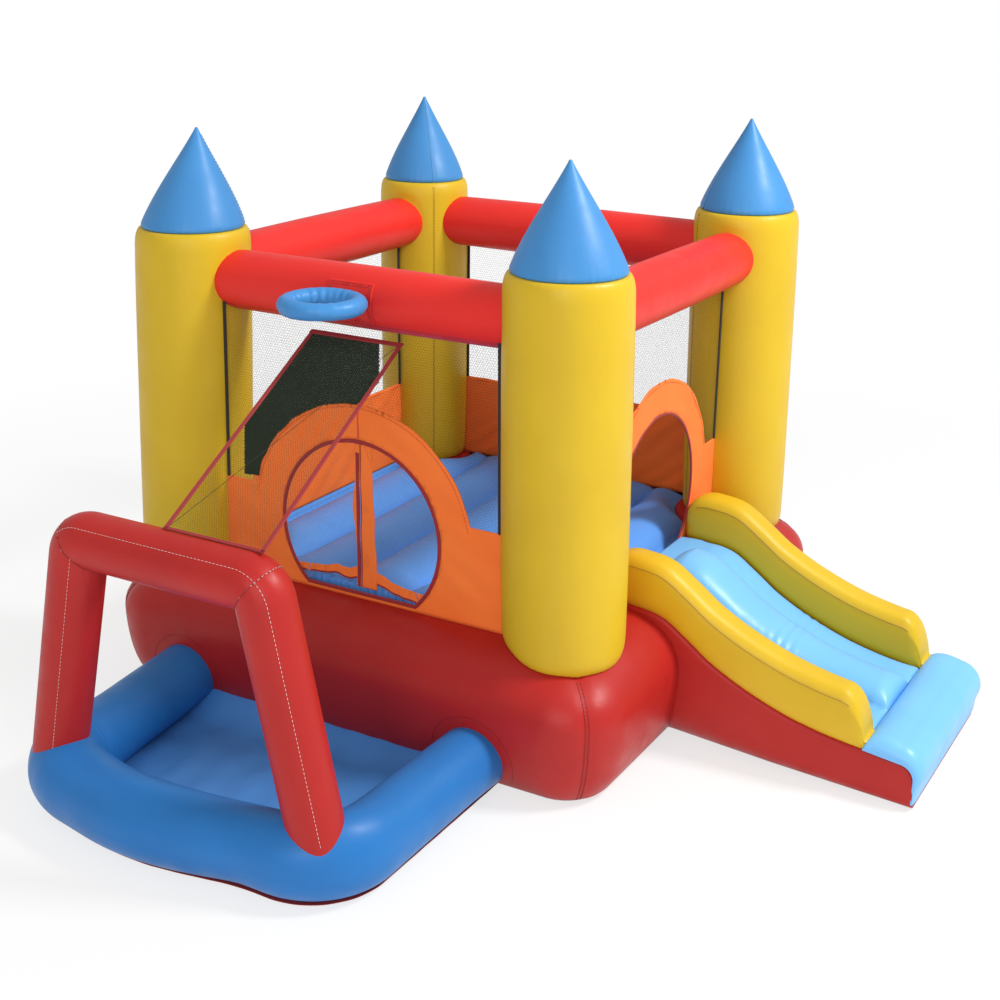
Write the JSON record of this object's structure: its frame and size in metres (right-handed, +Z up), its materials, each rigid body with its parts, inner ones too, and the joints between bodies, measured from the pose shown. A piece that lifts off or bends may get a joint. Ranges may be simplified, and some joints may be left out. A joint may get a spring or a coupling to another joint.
{
  "type": "inflatable bounce house",
  "caption": "Inflatable castle with corner towers, beams, netted walls, a channelled bounce floor, a slide on one side and a ball pit with a goal and a hoop in front.",
  "frame": {"origin": "middle of the castle base's underside, on the ground", "axes": "+Z up, -Y towards the ball pit and the goal, +X towards the slide"},
  "size_m": [3.1443, 3.3423, 2.149],
  "materials": {
    "castle_red": "satin coated cloth",
    "beam_red": "satin coated cloth",
    "tower_yellow": "satin coated cloth",
    "cone_blue": "satin coated cloth",
    "floor_blue": "satin coated cloth",
    "pit_blue": "satin coated cloth",
    "slide_blue": "satin coated cloth",
    "panel_orange": "matt woven cloth",
    "binding_red": "woven tape",
    "net_black": "knitted mesh",
    "ramp_green": "knitted mesh",
    "webbing_black": "woven tape",
    "baffle_white": "matt woven cloth",
    "zip_grey": "moulded",
    "metal": "plated"
  },
  "bodies": {
    "castle": {"base_skin": "castle_red", "slide_body": "castle_red", "goal_leg_left": "castle_red", "goal_leg_right": "castle_red", "goal_crossbar": "castle_red", "air_inlet": "castle_red", "beam_front": "beam_red", "beam_right": "beam_red", "beam_back": "beam_red", "beam_left": "beam_red", "hoop_patch": "beam_red", "tower_front_left": "tower_yellow", "tower_front_right": "tower_yellow", "tower_back_left": "tower_yellow", "tower_back_right": "tower_yellow", "slide_rail_near": "tower_yellow", "slide_rail_far": "tower_yellow", "cone_front_left": "cone_blue", "cone_front_right": "cone_blue", "cone_back_left": "cone_blue", "cone_back_right": "cone_blue", "floor_mattress": "floor_blue", "pit_arm_left": "pit_blue", "pit_arm_right": "pit_blue", "pit_front": "pit_blue", "pit_floor": "pit_blue", "slide_lane": "slide_blue", "slide_bolster": "slide_blue", "panel_front": "panel_orange", "panel_right": "panel_orange", "panel_back": "panel_orange", "panel_left": "panel_orange", "entrance_binding": "binding_red", "ramp_webbing": "binding_red", "pit_hem": "binding_red", "net_front": "net_black", "net_right": "net_black", "net_back": "net_black", "net_left": "net_black", "curtain_border_left": "net_black", "curtain_border_right": "net_black", "ramp_net": "ramp_green", "net_bindings": "webbing_black", "inlet_strap": "webbing_black", "anchor_tabs": "webbing_black", "floor_baffles": "baffle_white", "slide_baffles": "baffle_white", "zip_tape": "zip_grey", "anchor_eyelets": "metal"},
    "left_flap": {"curtain_left": "net_black", "curtain_trim_left": "panel_orange"},
    "right_flap": {"curtain_right": "net_black", "curtain_trim_right": "panel_orange"},
    "hoop": {"hoop_ring": "slide_blue"},
    "zip_pull": {"zip_slider": "metal"}
  },
  "joints": [
    {"name": "left_flap_swing", "type": "hinge", "parent": "castle", "child": "left_flap", "pos_m": [-0.24862, -0.8582, 0.555], "axis": [0.3818, 0, 0.9243], "range_deg": [-70, 70]},
    {"name": "right_flap_swing", "type": "hinge", "parent": "castle", "child": "right_flap", "pos_m": [0.24862, -0.8582, 0.555], "axis": [0.3818, 0, -0.9243], "range_deg": [-70, 70]},
    {"name": "hoop_tilt", "type": "hinge", "parent": "castle", "child": "hoop", "pos_m": [-0.011, -0.91988, 1.641], "axis": [1, 0, 0], "range_deg": [-12, 35], "stiffness_Nm_per_rad": 8},
    {"name": "zip_travel", "type": "slide", "parent": "castle", "child": "zip_pull", "axis": [1, 0, 0], "range_m": [0, 0.26]}
  ]
}
